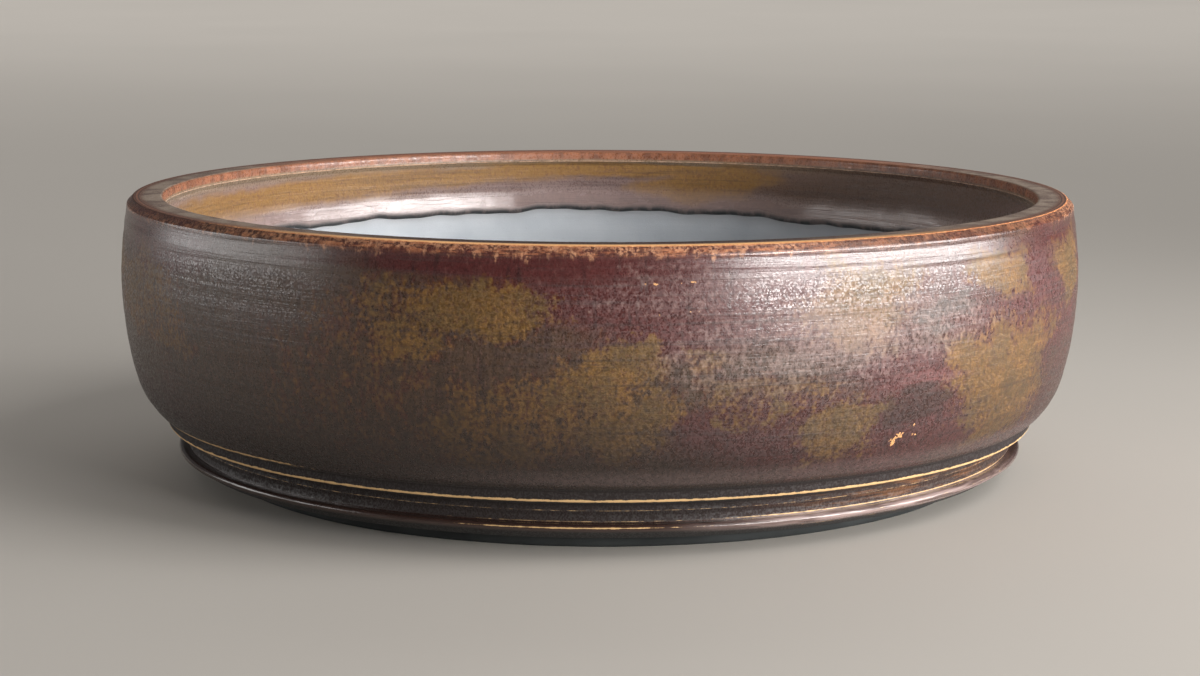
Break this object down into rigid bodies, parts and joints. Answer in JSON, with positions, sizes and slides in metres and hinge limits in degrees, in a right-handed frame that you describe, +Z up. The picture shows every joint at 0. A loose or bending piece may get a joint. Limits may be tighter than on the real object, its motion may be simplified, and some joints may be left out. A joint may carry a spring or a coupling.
{
  "type": "bonsai pot",
  "caption": "Round shallow bonsai pot in copper-glazed stoneware, with a moulded base, bare foot ring, drain holes under clipped mesh screens and tie-wire holes.",
  "frame": {"origin": "on the ground under the middle of the foot ring", "axes": "+Z up along the pot's axis, the picture looks along +Y, +X to the picture's right"},
  "size_m": [0.3, 0.3, 0.087],
  "materials": {
    "clay": "bare fired stoneware, matt",
    "foot_clay": "bare fired stoneware, matt",
    "glaze": "copper-brown glaze, satin gloss",
    "screen_plastic": "black moulded net",
    "clip_wire": "brown anodised, satin"
  },
  "bodies": {
    "root": {"wall": "clay", "floor_slab": "clay", "foot_ring": "foot_clay", "glaze_coat": "glaze", "drain_screen_1": "screen_plastic", "drain_screen_2": "screen_plastic", "drain_screen_3": "screen_plastic", "drain_screen_4": "screen_plastic", "screen_clip_1": "clip_wire", "screen_clip_2": "clip_wire", "screen_clip_3": "clip_wire", "screen_clip_4": "clip_wire"}
  },
  "joints": []
}
